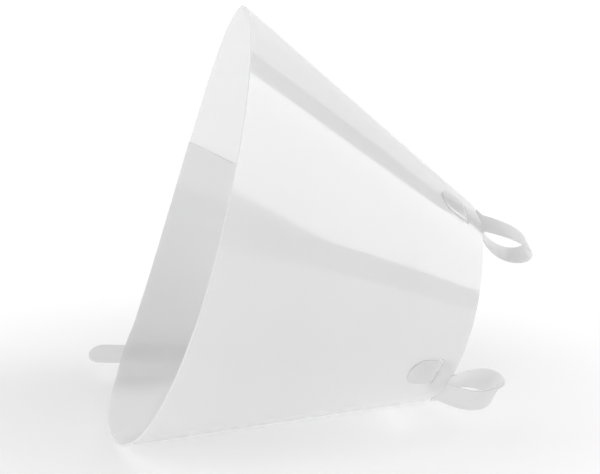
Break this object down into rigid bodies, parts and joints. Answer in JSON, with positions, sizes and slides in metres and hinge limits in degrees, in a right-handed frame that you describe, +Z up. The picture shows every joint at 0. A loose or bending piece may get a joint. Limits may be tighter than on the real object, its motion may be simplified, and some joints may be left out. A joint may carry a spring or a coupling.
{
  "type": "protective recovery cone",
  "caption": "Translucent plastic sheet rolled into a truncated cone for an animal's neck, with a woven locking strip and looped strap tabs at the neck edge.",
  "frame": {"origin": "centre of the whole object's bounding box at the level of the surface it lies on", "axes": "+Z up, wide end towards -X, neck and loops towards +X; the cone's axis lies in the XZ plane and rises 18.3 degrees towards the wide end"},
  "size_m": [0.2182, 0.2564, 0.2052],
  "materials": {
    "sheet": "glossy milky translucent polypropylene-like sheet",
    "strap": "the same sheet, in narrow straps"
  },
  "bodies": {
    "cone": {"cone_sheet": "sheet", "tongue_end_top": "strap", "tongue_end_front": "strap", "tongue_end_under": "strap"},
    "strip": {"locking_strip": "strap"},
    "loop_top": {"neck_loop_top": "strap"},
    "loop_front": {"neck_loop_front": "strap"},
    "loop_under": {"neck_loop_under": "strap"}
  },
  "joints": [
    {"name": "strip_slide", "type": "slide", "parent": "cone", "child": "strip", "axis": [-0.9638, 0.2664, -0.0156], "range_m": [0, 0.14]},
    {"name": "loop_top_flex", "type": "hinge", "parent": "cone", "child": "loop_top", "pos_m": [0.08242, -0.02548, 0.1009], "axis": [-0.0825, -0.9209, -0.381], "range_deg": [-20, 20], "stiffness_Nm_per_rad": 0.08},
    {"name": "loop_front_flex", "type": "hinge", "parent": "cone", "child": "loop_front", "pos_m": [0.05913, -0.04781, 0.02326], "axis": [-0.293, 0.6934, -0.6583], "range_deg": [-20, 20], "stiffness_Nm_per_rad": 0.08},
    {"name": "loop_under_flex", "type": "hinge", "parent": "cone", "child": "loop_under", "pos_m": [0.05137, 0.01596, 0.01109], "axis": [0.1113, 0.9872, 0.1144], "range_deg": [-20, 20], "stiffness_Nm_per_rad": 0.08}
  ]
}
